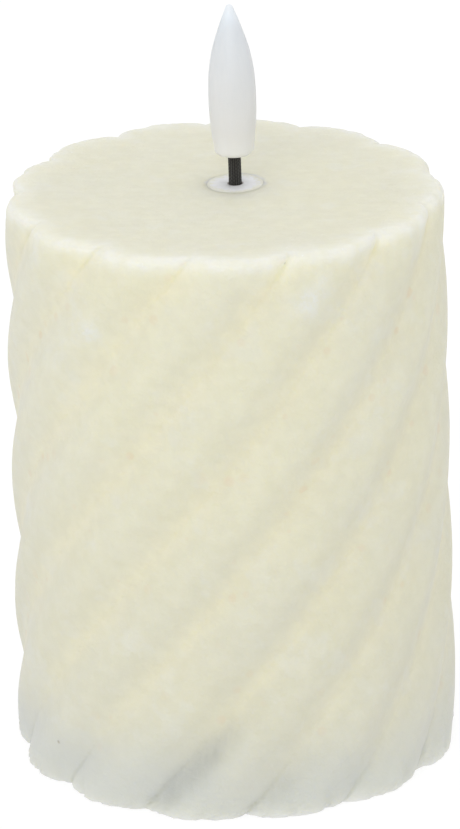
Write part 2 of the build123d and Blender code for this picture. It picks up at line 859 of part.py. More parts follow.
# ---------------------------------------------------------------- switch
with BuildPart() as switch_case:
    with BuildSketch(Plane.XY.offset(case_foot_z)):
        with Locations((0, switch_y)):
            Rectangle(case_length, case_width)
    extrude(amount=board_foot_z - case_foot_z)
    with BuildSketch(Plane.XY.offset(case_foot_z)):
        with Locations((0, switch_y)):
            Rectangle(
                slider_length + 2 * (slider_travel + slider_clearance),
                slider_width + 2 * slider_clearance,
            )
    extrude(amount=slider_top_z + slider_clearance - case_foot_z, mode=Mode.SUBTRACT)
save(switch_case.part, "switch_case")

with BuildPart() as switch_slider:
    with BuildSketch(Plane.XY.offset(slider_foot_z)):
        with Locations((0, switch_y)):
            Rectangle(slider_length, slider_width)
    extrude(amount=slider_top_z - slider_foot_z)
    with BuildSketch(Plane.XY.offset(slider_foot_z)):
        with Locations((-0.75, switch_y), (0, switch_y), (0.75, switch_y)):
            Rectangle(0.3, slider_width)
    extrude(amount=slider_groove_depth, mode=Mode.SUBTRACT)
save(switch_slider.part, "switch_slider")

# ---------------------------------------------------------------- battery leads
def battery_lead_route(side, clip_run, pad_x):
    """From one contact tab over the bay roof and down onto the board."""
    return [
        (contact_face_x, side * cell_y, lead_run_z),
        (contact_face_x - clip_run, side * cell_y, lead_run_z),
        (pad_x, pad_y, lead_run_z),
        (pad_x, pad_y, board_top_z),
    ]


red_route = battery_lead_route(-1, 6.8, battery_red_pad_x)
black_route = battery_lead_route(1, 3.2, battery_black_pad_x)
save(round_wire(red_route, [lead_bend, lead_bend], lead_radius), "battery_lead_red")
save(round_wire(black_route, [lead_bend, lead_bend], lead_radius), "battery_lead_black")
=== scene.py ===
"""Twisted wax battery candle: fine wax shell, flame cap, woven wick and finished base parts."""
from math import atan2, cos, exp, pi, radians, sin, sqrt, tau

import bmesh
import bpy
from mathutils import Matrix, Vector, noise


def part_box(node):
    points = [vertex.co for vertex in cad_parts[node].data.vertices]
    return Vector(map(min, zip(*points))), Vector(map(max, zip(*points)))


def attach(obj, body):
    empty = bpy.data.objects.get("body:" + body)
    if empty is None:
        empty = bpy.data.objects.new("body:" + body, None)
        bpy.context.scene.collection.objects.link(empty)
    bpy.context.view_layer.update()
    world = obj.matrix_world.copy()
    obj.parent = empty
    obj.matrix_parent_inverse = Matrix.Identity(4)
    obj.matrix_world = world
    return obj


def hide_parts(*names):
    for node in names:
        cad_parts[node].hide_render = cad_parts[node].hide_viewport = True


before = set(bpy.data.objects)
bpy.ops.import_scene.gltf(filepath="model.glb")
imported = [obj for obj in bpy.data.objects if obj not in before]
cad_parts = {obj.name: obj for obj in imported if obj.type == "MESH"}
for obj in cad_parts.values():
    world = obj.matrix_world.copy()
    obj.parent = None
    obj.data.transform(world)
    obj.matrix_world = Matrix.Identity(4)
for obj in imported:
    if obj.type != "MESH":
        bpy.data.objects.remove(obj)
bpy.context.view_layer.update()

MM = 0.001

# ------------------------------------------------------------------ sizes
wax_low, wax_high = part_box("wax_pillar")
cap_low, cap_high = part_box("flame_cap")
pillar_height = wax_high[2]
crest_radius = wax_high[0] - 0.05 * MM
groove_depth = 1.8 * MM
valley_radius = crest_radius - groove_depth
draft = 0.025
lobe_count = 13
lobe_pitch = tau / lobe_count
twist = radians(128)
first_groove = radians(22.2)
recess_radius = 31.7 * MM
recess_mouth = 0.8 * MM
recess_depth = 22.8 * MM
cavity_radius = 28.5 * MM
cavity_top = 88 * MM
cavity_fillet = 6 * MM
collar_seat_radius = 4.8 * MM
collar_seat_depth = 1.5 * MM
collar_hole_radius = 3.0 * MM
collar_finish_reach = 1.35 * collar_seat_radius
collar_tube_length = 16 * MM
wick_socket_depth = 6 * MM
wick_foot = Vector((1.9 * MM, 2.4 * MM, pillar_height))
wick_lean = radians(0.6)
wick_frame = Matrix.Translation(wick_foot) @ Matrix.Rotation(-wick_lean, 4, "Y")


# ------------------------------------------------------------------ node helpers
def put(tree, kind, *links, **settings):
    """Add a node, set its properties, and feed its inputs by name, value or socket."""
    made = tree.nodes.new(kind)
    for name, value in settings.items():
        setattr(made, name, value)
    for socket, value in links:
        target = made.inputs[socket]
        if isinstance(value, bpy.types.NodeSocket):
            tree.links.new(value, target)
        else:
            target.default_value = value
    return made


def calc(tree, operation, first, second=0.5, clamp=False):
    return put(tree, "ShaderNodeMath", (0, first), (1, second), operation=operation,
               use_clamp=clamp).outputs[0]


def spread(tree, value, low, high, to_low=0.0, to_high=1.0):
    """Smooth remap of a value, held at both ends."""
    return put(tree, "ShaderNodeMapRange", ("Value", value), ("From Min", low),
               ("From Max", high), ("To Min", to_low), ("To Max", to_high),
               interpolation_type="SMOOTHSTEP").outputs["Result"]


def blend_colour(tree, amount, first, second):
    mixer = put(tree, "ShaderNodeMix", (0, amount), (6, first), (7, second), data_type="RGBA")
    return mixer.outputs[2]


def colour(hex_code):
    """Linear colour from a display hex code."""
    parts = [int(hex_code[i:i + 2], 16) / 255 for i in (0, 2, 4)]
    return tuple(p / 12.92 if p <= 0.04045 else ((p + 0.055) / 1.055) ** 2.4 for p in parts) + (1,)


def group_with(name, inputs, outputs):
    tree = bpy.data.node_groups.new(name, "ShaderNodeTree")
    for title, kind, value in inputs:
        socket = tree.interface.new_socket(title, in_out="INPUT", socket_type=kind)
        if value is not None:
            socket.default_value = value
    for title in outputs:
        tree.interface.new_socket(title, in_out="OUTPUT", socket_type="NodeSocketFloat")
    return tree, tree.nodes.new("NodeGroupInput"), tree.nodes.new("NodeGroupOutput")


def make_mottle():
    """Cloudy variation on two scales, 0 to 1."""
    tree, given, result = group_with("mottle", [
        ("Place", "NodeSocketVector", None),
        ("Scale", "NodeSocketFloat", 100.0),
    ], ["Cloud", "Fine"])
    broad = put(tree, "ShaderNodeTexNoise", ("Vector", given.outputs["Place"]),
                ("Scale", given.outputs["Scale"]), ("Detail", 3.0), ("Roughness", 0.55))
    finer = calc(tree, "MULTIPLY", given.outputs["Scale"], 6.3)
    small = put(tree, "ShaderNodeTexNoise", ("Vector", given.outputs["Place"]),
                ("Scale", finer), ("Detail", 4.0), ("Roughness", 0.6))
    tree.links.new(spread(tree, broad.outputs["Fac"], 0.3, 0.7), result.inputs["Cloud"])
    tree.links.new(spread(tree, small.outputs["Fac"], 0.3, 0.7), result.inputs["Fine"])
    return tree


def make_specks():
    """Sparse round specks: Dots is 1 inside a speck, Keep sets how few there are."""
    tree, given, result = group_with("specks", [
        ("Place", "NodeSocketVector", None),
        ("Scale", "NodeSocketFloat", 100.0),
        ("Size", "NodeSocketFloat", 0.2),
        ("Keep", "NodeSocketFloat", 0.8),
    ], ["Dots"])
    cells = put(tree, "ShaderNodeTexVoronoi", ("Vector", given.outputs["Place"]),
                ("Scale", given.outputs["Scale"]))
    pick = put(tree, "ShaderNodeSeparateColor", ("Color", cells.outputs["Color"]))
    kept = calc(tree, "GREATER_THAN", pick.outputs[0], given.outputs["Keep"])
    reach = calc(tree, "MULTIPLY", given.outputs["Size"], calc(tree, "ADD", pick.outputs[1], 0.4))
    edge = calc(tree, "SUBTRACT", 1.0, calc(tree, "DIVIDE", cells.outputs["Distance"], reach), clamp=True)
    dots = spread(tree, edge, 0.0, 0.5)
    tree.links.new(calc(tree, "MULTIPLY", dots, kept), result.inputs["Dots"])
    return tree


def make_scratches():
    """Fine streaks along one axis: stretch sets each axis' share of the scale."""
    tree, given, result = group_with("scratches", [
        ("Place", "NodeSocketVector", None),
        ("Stretch", "NodeSocketVector", (1.0, 1.0, 1.0)),
        ("Scale", "NodeSocketFloat", 100.0),
    ], ["Streaks", "Scores"])
    drawn = put(tree, "ShaderNodeVectorMath", (0, given.outputs["Place"]),
                (1, given.outputs["Stretch"]), operation="MULTIPLY")
    streak = put(tree, "ShaderNodeTexNoise", ("Vector", drawn.outputs[0]),
                 ("Scale", given.outputs["Scale"]), ("Detail", 5.0), ("Roughness", 0.65),
                 ("Distortion", 0.15))
    tree.links.new(spread(tree, streak.outputs["Fac"], 0.3, 0.72), result.inputs["Streaks"])
    tree.links.new(spread(tree, streak.outputs["Fac"], 0.63, 0.74), result.inputs["Scores"])
    return tree


MOTTLE = make_mottle()
SPECKS = make_specks()
SCRATCHES = make_scratches()


def use_group(tree, group, *links):
    """Place a node group in a material and feed its inputs."""
    return put(tree, "ShaderNodeGroup", *links, node_tree=group)


def new_material(name, **constants):
    """Material with a Principled shader whose plain values sit on its own sockets."""
    made = bpy.data.materials.new(name)
    made.use_nodes = True
    tree = made.node_tree
    shader = tree.nodes["Principled BSDF"]
    for title, value in constants.items():
        shader.inputs[title.replace("_", " ")].default_value = value
    place = tree.nodes.new("ShaderNodeTexCoord").outputs["Object"]
    return made, tree, shader, place


def relief(tree, shader, height, distance, strength=1.0):
    """Bump the shader's normal by a height from 0 to 1, this far at full height."""
    bump = put(tree, "ShaderNodeBump", ("Height", height), ("Distance", distance),
               ("Strength", strength))
    tree.links.new(bump.outputs["Normal"], shader.inputs["Normal"])


def attribute(tree, name):
    return put(tree, "ShaderNodeAttribute", attribute_name=name).outputs["Fac"]


# ------------------------------------------------------------------ wax finish
def make_ivory_wax(name, depth):
    """Ivory wax: grooves tinted yellow and lightened with painted fill light, painted shade darker towards
    the bottom, a cool grey painted shade at the foot, frosted rims, pinholes and a brushed top.
    """
    made, tree, shader, place = new_material(
        name, Subsurface_Weight=depth, Subsurface_Radius=(1.0, 0.95, 0.75),
        Subsurface_Scale=6.0 * MM, Specular_IOR_Level=0.36)
    groove = attribute(tree, "groove")
    rim = attribute(tree, "rim")
    top = attribute(tree, "top")
    smudge = attribute(tree, "smudge")
    halo = attribute(tree, "halo")
    cloud = use_group(tree, MOTTLE, ("Place", place), ("Scale", 45.0))
    patch = use_group(tree, MOTTLE, ("Place", place), ("Scale", 130.0))
    flecks = use_group(tree, SPECKS, ("Place", place), ("Scale", 420.0), ("Size", 0.42), ("Keep", 0.82))
    pits = use_group(tree, SPECKS, ("Place", place), ("Scale", 100.0), ("Size", 0.05), ("Keep", 0.84))
    brush = use_group(tree, SCRATCHES, ("Place", place), ("Stretch", (0.12, 1.0, 1.0)),
                      ("Scale", 900.0))
    scuff = use_group(tree, SCRATCHES, ("Place", place), ("Stretch", (1.0, 1.0, 0.3)),
                      ("Scale", 260.0))
    nicks = use_group(tree, SCRATCHES, ("Place", place), ("Stretch", (1.0, 1.0, 0.1)),
                      ("Scale", 520.0))
    upright = put(tree, "ShaderNodeSeparateXYZ", ("Vector", place)).outputs["Z"]

    # Painted shade: the wax colour runs darker towards the bottom (low) than the top (high), standing in for
    # light falling from above.
    high = blend_colour(tree, cloud.outputs["Cloud"], colour("E8E6CF"), colour("E6E5D3"))
    low = blend_colour(tree, cloud.outputs["Cloud"], colour("E1DFC9"), colour("DFDECD"))
    shade = blend_colour(tree, spread(tree, upright, 15 * MM, 80 * MM), low, high)
    shade = blend_colour(tree, calc(tree, "MULTIPLY", cloud.outputs["Fine"], 0.2), shade,
                         colour("EFEDDF"))
    # Grooves get a yellow tint that is also lighter than the body: painted fill light offsetting the shade in
    # the grooves.
    groove_tint_and_painted_fill = calc(tree, "MULTIPLY", spread(tree, groove, 0.0, 1.0), 0.6)
    shade = blend_colour(tree, groove_tint_and_painted_fill, shade, colour("F4F0D6"))
    crystals = use_group(tree, MOTTLE, ("Place", place), ("Scale", 380.0))
    shade = blend_colour(tree, calc(tree, "MULTIPLY", crystals.outputs["Cloud"], 0.22), shade,
                         colour("D9D6BF"))
    peach = calc(tree, "MULTIPLY", calc(tree, "MULTIPLY", flecks.outputs["Dots"], groove), 0.3)
    shade = blend_colour(tree, peach, shade, colour("E9D2B4"))
    bloom = calc(tree, "MULTIPLY", spread(tree, patch.outputs["Cloud"], 0.8, 1.0), 0.15)
    pale = calc(tree, "MULTIPLY", attribute(tree, "bloom"),
                spread(tree, patch.outputs["Fine"], 0.1, 0.7, 0.4, 0.85))
    shade = blend_colour(tree, calc(tree, "MAXIMUM", bloom, pale), shade, colour("E9ECEC"))
    frost = calc(tree, "MULTIPLY", rim, spread(tree, cloud.outputs["Fine"], 0.0, 0.9, 0.55, 1.0))
    shade = blend_colour(tree, calc(tree, "MULTIPLY", frost, 0.5), shade, colour("ECEEEE"))
    # Painted shade: a cool grey band painted over the bottom 4 to 24 mm of the foot.
    painted_foot_shade_line = calc(tree, "ADD", upright, calc(tree, "MULTIPLY", cloud.outputs["Cloud"], 6 * MM))
    cool = spread(tree, painted_foot_shade_line, 4 * MM, 24 * MM, 0.85, 0.0)
    shade = blend_colour(tree, cool, shade, colour("D3D6D2"))
    deep = calc(tree, "MULTIPLY", smudge, spread(tree, scuff.outputs["Streaks"], 0.0, 1.0, 0.6, 1.0))
    shade = blend_colour(tree, deep, shade, colour("8E928F"))
    brushed = calc(tree, "MULTIPLY", calc(tree, "MULTIPLY", brush.outputs["Streaks"], top), 0.22)
    shade = blend_colour(tree, brushed, shade, colour("E0DCC9"))
    ragged = calc(tree, "ADD", halo, calc(tree, "MULTIPLY", patch.outputs["Cloud"], 0.14))
    shade = blend_colour(tree, spread(tree, ragged, 0.5, 0.62, 0.0, 0.8), shade, colour("E9EAEE"))
    scored = calc(tree, "MULTIPLY", calc(tree, "MULTIPLY", nicks.outputs["Scores"], rim), 0.8)
    shade = blend_colour(tree, scored, shade, colour("F8F9F8"))
    hole = calc(tree, "MULTIPLY", pits.outputs["Dots"], 0.8)
    shade = blend_colour(tree, hole, shade, colour("9C8E74"))
    tree.links.new(shade, shader.inputs["Base Color"])

    rough = spread(tree, frost, 0.0, 1.0, 0.48, 0.62)
    rough = calc(tree, "ADD", rough, calc(tree, "MULTIPLY", cloud.outputs["Fine"], 0.08))
    tree.links.new(rough, shader.inputs["Roughness"])
    lumps = calc(tree, "ADD", calc(tree, "MULTIPLY", cloud.outputs["Fine"], 0.5),
                 calc(tree, "MULTIPLY", calc(tree, "MULTIPLY", brush.outputs["Streaks"], top), 0.25))
    lumps = calc(tree, "SUBTRACT", lumps, calc(tree, "MULTIPLY", pits.outputs["Dots"], 1.6))
    lumps = calc(tree, "ADD", lumps, calc(tree, "MULTIPLY", patch.outputs["Fine"], 0.3))
    lumps = calc(tree, "ADD", lumps, calc(tree, "MULTIPLY", crystals.outputs["Cloud"], 0.5))
    relief(tree, shader, lumps, 0.14 * MM)
    return made


# ------------------------------------------------------------------ plastic finishes
def moulded(name, hex_code, worn_hex, rough, grain_scale=1400.0, grain_depth=0.02, **constants):
    """Moulded plastic: fine spark grain, faint cloudiness and light scuffing."""
    made, tree, shader, place = new_material(name, **constants)
    cloud = use_group(tree, MOTTLE, ("Place", place), ("Scale", 60.0))
    grain = use_group(tree, MOTTLE, ("Place", place), ("Scale", grain_scale))
    scuff = use_group(tree, SCRATCHES, ("Place", place), ("Stretch", (1.0, 0.25, 1.0)),
                      ("Scale", 420.0))
    worn = calc(tree, "ADD", calc(tree, "MULTIPLY", cloud.outputs["Cloud"], 0.35),
                calc(tree, "MULTIPLY", scuff.outputs["Scores"], 0.5))
    shade = blend_colour(tree, worn, colour(hex_code), colour(worn_hex))
    tree.links.new(shade, shader.inputs["Base Color"])
    tree.links.new(spread(tree, grain.outputs["Cloud"], 0.0, 1.0, rough - 0.05, rough + 0.08),
                   shader.inputs["Roughness"])
    relief(tree, shader, grain.outputs["Cloud"], grain_depth * MM, 0.6)
    return made


def make_flame_plastic():
    """Satin white flame: translucent, cool towards the tip, with faint flow lines."""
    made, tree, shader, place = new_material(
        "flame_plastic", Subsurface_Weight=0.7, Subsurface_Radius=(0.9, 0.95, 1.0),
        Subsurface_Scale=2.5 * MM, Specular_IOR_Level=0.55)
    upright = put(tree, "ShaderNodeSeparateXYZ", ("Vector", place)).outputs["Z"]
    flow = use_group(tree, SCRATCHES, ("Place", place), ("Stretch", (1.0, 1.0, 0.12)),
                     ("Scale", 330.0))
    grain = use_group(tree, MOTTLE, ("Place", place), ("Scale", 900.0))
    rise = spread(tree, upright, cap_low[2], cap_high[2])
    shade = blend_colour(tree, rise, colour("EDEDEC"), colour("E2EAF4"))
    shade = blend_colour(tree, calc(tree, "MULTIPLY", flow.outputs["Streaks"], 0.25), shade,
                         colour("F6F8FA"))
    tree.links.new(shade, shader.inputs["Base Color"])
    tree.links.new(spread(tree, grain.outputs["Cloud"], 0.0, 1.0, 0.34, 0.44), shader.inputs["Roughness"])
    relief(tree, shader, calc(tree, "ADD", grain.outputs["Cloud"], flow.outputs["Streaks"]), 0.012 * MM)
    return made


def make_collar_plastic():
    """Cool white collar, stained brown where the wick comes out."""
    made, tree, shader, place = new_material(
        "collar_plastic", Subsurface_Weight=0.5, Subsurface_Radius=(1.0, 1.0, 1.0),
        Subsurface_Scale=2.0 * MM, Specular_IOR_Level=0.4)
    reach = put(tree, "ShaderNodeVectorMath", (0, place), (1, tuple(wick_foot)), operation="DISTANCE")
    cloud = use_group(tree, MOTTLE, ("Place", place), ("Scale", 220.0))
    stain = spread(tree, reach.outputs["Value"], 1.15 * MM, 1.5 * MM, 0.75, 0.0)
    shade = blend_colour(tree, cloud.outputs["Cloud"], colour("F4F5F8"), colour("EDEEF1"))
    outer = calc(tree, "ADD", reach.outputs["Value"], calc(tree, "MULTIPLY", cloud.outputs["Fine"], 1.0 * MM))
    shade = blend_colour(tree, spread(tree, outer, 3.6 * MM, 5.2 * MM), shade, colour("E9E8D8"))
    shade = blend_colour(tree, stain, shade, colour("7A5A48"))
    tree.links.new(shade, shader.inputs["Base Color"])
    tree.links.new(spread(tree, cloud.outputs["Fine"], 0.0, 1.0, 0.45, 0.6), shader.inputs["Roughness"])
    relief(tree, shader, cloud.outputs["Fine"], 0.03 * MM)
    return made


def make_wick_cloth():
    """Black woven sleeve: grey crowns on the strands, with painted shade darkening the gaps between them."""
    made, tree, shader, place = new_material(
        "wick_sleeve", Sheen_Weight=0.35, Sheen_Roughness=0.5, Specular_IOR_Level=0.3)
    crown = attribute(tree, "crown")
    lint = use_group(tree, SCRATCHES, ("Place", place), ("Stretch", (1.0, 1.0, 0.2)),
                     ("Scale", 2600.0))
    # Painted shade: the gaps between strands are painted near black, the crowns a lighter grey.
    shade = blend_colour(tree, spread(tree, crown, 0.35, 1.0), colour("0E0E0D"), colour("35332F"))
    shade = blend_colour(tree, calc(tree, "MULTIPLY", lint.outputs["Scores"], 0.5), shade,
                         colour("8F8A80"))
    tree.links.new(shade, shader.inputs["Base Color"])
    tree.links.new(spread(tree, crown, 0.0, 1.0, 0.85, 0.6), shader.inputs["Roughness"])
    relief(tree, shader, lint.outputs["Streaks"], 0.02 * MM)
    return made


def make_insulation(name, hex_code):
    """Stranded wire's sleeve: slightly wavy, glossy, dusty in places."""
    return moulded(name, hex_code, "8A8078", 0.36, 900.0, 0.03, Coat_Weight=0.2)


# ------------------------------------------------------------------ metal finishes
def metal(name, hex_code, dull_hex, rough, stretch, tarnish=0.5):
    """Plated metal: drawn or rolled streaks along one axis and patchy tarnish."""
    made, tree, shader, place = new_material(name, Metallic=1.0)
    streak = use_group(tree, SCRATCHES, ("Place", place), ("Stretch", stretch), ("Scale", 900.0))
    cloud = use_group(tree, MOTTLE, ("Place", place), ("Scale", 160.0))
    dull = calc(tree, "MULTIPLY", cloud.outputs["Cloud"], tarnish)
    tree.links.new(blend_colour(tree, dull, colour(hex_code), colour(dull_hex)), shader.inputs["Base Color"])
    uneven = calc(tree, "ADD", calc(tree, "MULTIPLY", streak.outputs["Streaks"], 0.14),
                  calc(tree, "MULTIPLY", cloud.outputs["Cloud"], 0.12))
    tree.links.new(calc(tree, "ADD", uneven, rough), shader.inputs["Roughness"])
    relief(tree, shader, streak.outputs["Streaks"], 0.012 * MM)
    return made


def within(tree, value, middle, half):
    """1 where the value is within half of the middle."""
    return calc(tree, "LESS_THAN", calc(tree, "ABSOLUTE", calc(tree, "SUBTRACT", value, middle)), half)


def make_cell_can():
    """Printed wrap with a pale band and a plain plus, between bare steel ends."""
    made, tree, shader, place = new_material("cell_can", Coat_Weight=0.35, Coat_Roughness=0.2)
    along = attribute(tree, "along")
    turn = attribute(tree, "turn")
    cloud = use_group(tree, MOTTLE, ("Place", place), ("Scale", 90.0))
    scuff = use_group(tree, SCRATCHES, ("Place", place), ("Stretch", (0.2, 1.0, 1.0)), ("Scale", 500.0))
    wrap = within(tree, along, 24.6 * MM, 23.8 * MM)
    band = within(tree, along, 42.6 * MM, 5.2 * MM)
    line = within(tree, along, 36.6 * MM, 0.35 * MM)
    arm = calc(tree, "MULTIPLY", within(tree, along, 42.6 * MM, 2.4 * MM), within(tree, turn, 0.0, 0.08))
    post = calc(tree, "MULTIPLY", within(tree, along, 42.6 * MM, 0.6 * MM), within(tree, turn, 0.0, 0.34))
    dash = calc(tree, "MULTIPLY", within(tree, along, 5.6 * MM, 0.6 * MM), within(tree, turn, 0.0, 0.34))
    mark = calc(tree, "MAXIMUM", arm, post)
    lap = calc(tree, "MULTIPLY", within(tree, turn, 2.6, 0.02), wrap)
    shade = blend_colour(tree, cloud.outputs["Cloud"], colour("1F4B57"), colour("24535F"))
    shade = blend_colour(tree, calc(tree, "MAXIMUM", band, line), shade, colour("D9D6CB"))
    shade = blend_colour(tree, mark, shade, colour("1D2B30"))
    shade = blend_colour(tree, dash, shade, colour("D9D6CB"))
    shade = blend_colour(tree, calc(tree, "MULTIPLY", scuff.outputs["Scores"], 0.5), shade, colour("8F9A9B"))
    shade = blend_colour(tree, calc(tree, "MULTIPLY", lap, 0.6), shade, colour("10282F"))
    steel = blend_colour(tree, cloud.outputs["Cloud"], colour("C9C8C4"), colour("A9A7A1"))
    tree.links.new(blend_colour(tree, wrap, steel, shade), shader.inputs["Base Color"])
    tree.links.new(calc(tree, "SUBTRACT", 1.0, wrap), shader.inputs["Metallic"])
    tree.links.new(spread(tree, cloud.outputs["Fine"], 0.0, 1.0, 0.24, 0.36), shader.inputs["Roughness"])
    relief(tree, shader, calc(tree, "ADD", wrap, calc(tree, "MULTIPLY", lap, 0.5)), 0.05 * MM)
    return made


# ------------------------------------------------------------------ board finishes
def make_circuit_board():
    """Green solder mask over copper tracks on a small grid, with tinned pads."""
    made, tree, shader, place = new_material("circuit_board", Coat_Weight=0.4, Coat_Roughness=0.25)
    cloud = use_group(tree, MOTTLE, ("Place", place), ("Scale", 140.0))
    tracks = put(tree, "ShaderNodeTexBrick", ("Vector", place), ("Scale", 260.0),
                 ("Mortar Size", 0.03), ("Color1", (0, 0, 0, 1)), ("Color2", (0, 0, 0, 1)),
                 ("Mortar", (1, 1, 1, 1)), offset=0.5, squash=1.0)
    pads = use_group(tree, SPECKS, ("Place", place), ("Scale", 320.0), ("Size", 0.25), ("Keep", 0.86))
    shade = blend_colour(tree, cloud.outputs["Cloud"], colour("16502E"), colour("1A5A35"))
    shade = blend_colour(tree, calc(tree, "MULTIPLY", tracks.outputs["Fac"], 0.6), shade, colour("2F8050"))
    shade = blend_colour(tree, pads.outputs["Dots"], shade, colour("C4C3BC"))
    tree.links.new(shade, shader.inputs["Base Color"])
    tree.links.new(pads.outputs["Dots"], shader.inputs["Metallic"])
    tree.links.new(spread(tree, cloud.outputs["Fine"], 0.0, 1.0, 0.3, 0.45), shader.inputs["Roughness"])
    raised = calc(tree, "ADD", tracks.outputs["Fac"], pads.outputs["Dots"])
    relief(tree, shader, raised, 0.05 * MM)
    return made


def make_resistor_body():
    """Tan ceramic with four painted bands across it."""
    made, tree, shader, place = new_material("resistor_body", Coat_Weight=0.3)
    side = put(tree, "ShaderNodeSeparateXYZ", ("Vector", place)).outputs["X"]
    grain = use_group(tree, MOTTLE, ("Place", place), ("Scale", 700.0))
    shade = blend_colour(tree, grain.outputs["Cloud"], colour("CDB083"), colour("C2A273"))
    for middle, paint in ((-1.2, "6A3A1E"), (-0.5, "1B1B1B"), (0.2, "C7461F"), (1.2, "B58A3A")):
        shade = blend_colour(tree, within(tree, side, middle * MM, 0.18 * MM), shade, colour(paint))
    bare = calc(tree, "GREATER_THAN", calc(tree, "ABSOLUTE", side), 2.02 * MM)
    tree.links.new(blend_colour(tree, bare, shade, colour("C6C5C0")), shader.inputs["Base Color"])
    tree.links.new(bare, shader.inputs["Metallic"])
    tree.links.new(spread(tree, grain.outputs["Fine"], 0.0, 1.0, 0.3, 0.5), shader.inputs["Roughness"])
    relief(tree, shader, grain.outputs["Fine"], 0.02 * MM)
    return made


def make_capacitor_sleeve():
    """Dark sleeve with a pale stripe down one side and a scored bare top."""
    made, tree, shader, place = new_material("capacitor_sleeve", Coat_Weight=0.3)
    low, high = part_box("smoothing_capacitor")
    spot = put(tree, "ShaderNodeSeparateXYZ", ("Vector", place))
    grain = use_group(tree, MOTTLE, ("Place", place), ("Scale", 500.0))
    stripe = calc(tree, "LESS_THAN", spot.outputs["X"], low[0] + 0.9 * MM)
    bare = calc(tree, "GREATER_THAN", spot.outputs["Z"], high[2] - 0.12 * MM)
    shade = blend_colour(tree, grain.outputs["Cloud"], colour("1B2238"), colour("222A44"))
    shade = blend_colour(tree, stripe, shade, colour("B9BCC6"))
    score = calc(tree, "MAXIMUM", within(tree, spot.outputs["X"], (low[0] + high[0]) / 2, 0.09 * MM),
                 within(tree, spot.outputs["Y"], (low[1] + high[1]) / 2, 0.09 * MM))
    lid = blend_colour(tree, score, colour("C9CACB"), colour("6E6F71"))
    tree.links.new(blend_colour(tree, bare, shade, lid), shader.inputs["Base Color"])
    tree.links.new(bare, shader.inputs["Metallic"])
    tree.links.new(spread(tree, grain.outputs["Fine"], 0.0, 1.0, 0.3, 0.45), shader.inputs["Roughness"])
    relief(tree, shader, grain.outputs["Fine"], 0.02 * MM)
    return made


def make_chip_epoxy():
    """Black moulded body with a round mark, on tinned legs."""
    made, tree, shader, place = new_material("chip_epoxy")
    low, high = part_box("timer_chip")
    spot = put(tree, "ShaderNodeSeparateXYZ", ("Vector", place))
    grain = use_group(tree, MOTTLE, ("Place", place), ("Scale", 1500.0))
    middle = (low + high) / 2
    legs = calc(tree, "GREATER_THAN",
                calc(tree, "ABSOLUTE", calc(tree, "SUBTRACT", spot.outputs["Y"], middle[1])), 2.0 * MM)
    dot_place = (low[0] + 0.8 * MM, middle[1] - 1.2 * MM, high[2])
    near = put(tree, "ShaderNodeVectorMath", (0, place), (1, dot_place), operation="DISTANCE")
    dot = calc(tree, "LESS_THAN", near.outputs["Value"], 0.35 * MM)
    shade = blend_colour(tree, grain.outputs["Cloud"], colour("1C1C1D"), colour("28282A"))
    shade = blend_colour(tree, dot, shade, colour("6A6A6C"))
    tree.links.new(blend_colour(tree, legs, shade, colour("C6C5C0")), shader.inputs["Base Color"])
    tree.links.new(legs, shader.inputs["Metallic"])
    tree.links.new(spread(tree, grain.outputs["Fine"], 0.0, 1.0, 0.5, 0.65), shader.inputs["Roughness"])
    relief(tree, shader, grain.outputs["Cloud"], 0.02 * MM)
    return made


# ------------------------------------------------------------------ wax shell
half_pitch = lobe_pitch / 2
half_chord = valley_radius * sin(half_pitch)
lobe_rise = crest_radius - valley_radius * cos(half_pitch)
lobe_arc = (half_chord ** 2 + lobe_rise ** 2) / (2 * lobe_rise)
lobe_centre = crest_radius - lobe_arc
spokes_per_lobe = 24
valley_softening = 0.35 * MM
rim_notch = 0.5 * MM


def near_rims(height):
    """1 at either rim of the wax, fading to 0 a few millimetres away."""
    return exp(-max(0.0, pillar_height - height) / (2.5 * MM)) + exp(-max(0.0, height) / (3.5 * MM))


def scallop_radius(share, height):
    """Radius across one lobe: share runs 0 to 1 from one groove to the next."""
    turn = (share - 0.5) * lobe_pitch
    radius = lobe_centre * cos(turn) + sqrt(lobe_arc ** 2 - (lobe_centre * sin(turn)) ** 2)
    groove = max(0.0, abs(2 * share - 1) - 0.45) / 0.55
    sharp = max(0.0, abs(2 * share - 1) - 0.78) / 0.22
    rims = min(1.0, near_rims(height))
    wave = crest_radius - groove_depth * (1 + cos(tau * share)) / 2
    radius += (wave - radius) * 0.45 * (1 - rims)
    radius += valley_softening * groove ** 2 * (1 - rims) - rim_notch * sharp ** 1.5 * rims * (
        1.0 + 0.6 * height / pillar_height)
    return radius * (1 - draft * height / pillar_height)


def lobe_wander(index, height):
    """Hand-cut sideways drift of one groove, in radians."""
    return 0.022 * noise.noise(Vector((index % lobe_count * 7.3, height * 26, 2.7)))


def rim_wear(angle, height):
    """Dents and bites along the two rims, in metres."""
    near_top = exp(-max(0.0, pillar_height - height) / (2.6 * MM))
    near_foot = exp(-max(0.0, height) / (2.2 * MM))
    around = Vector((cos(angle) * 9, sin(angle) * 9, height * 60))
    bite = max(0.0, noise.noise(around) - 0.12)
    crumb = max(0.0, noise.noise(around * 3.1) - 0.1)
    chip = max(0.0, noise.noise(around * 7.3) - 0.18)
    return (near_top * 0.8 + near_foot * 1.4) * (1.3 * bite + 0.8 * crumb + 0.8 * chip) * MM


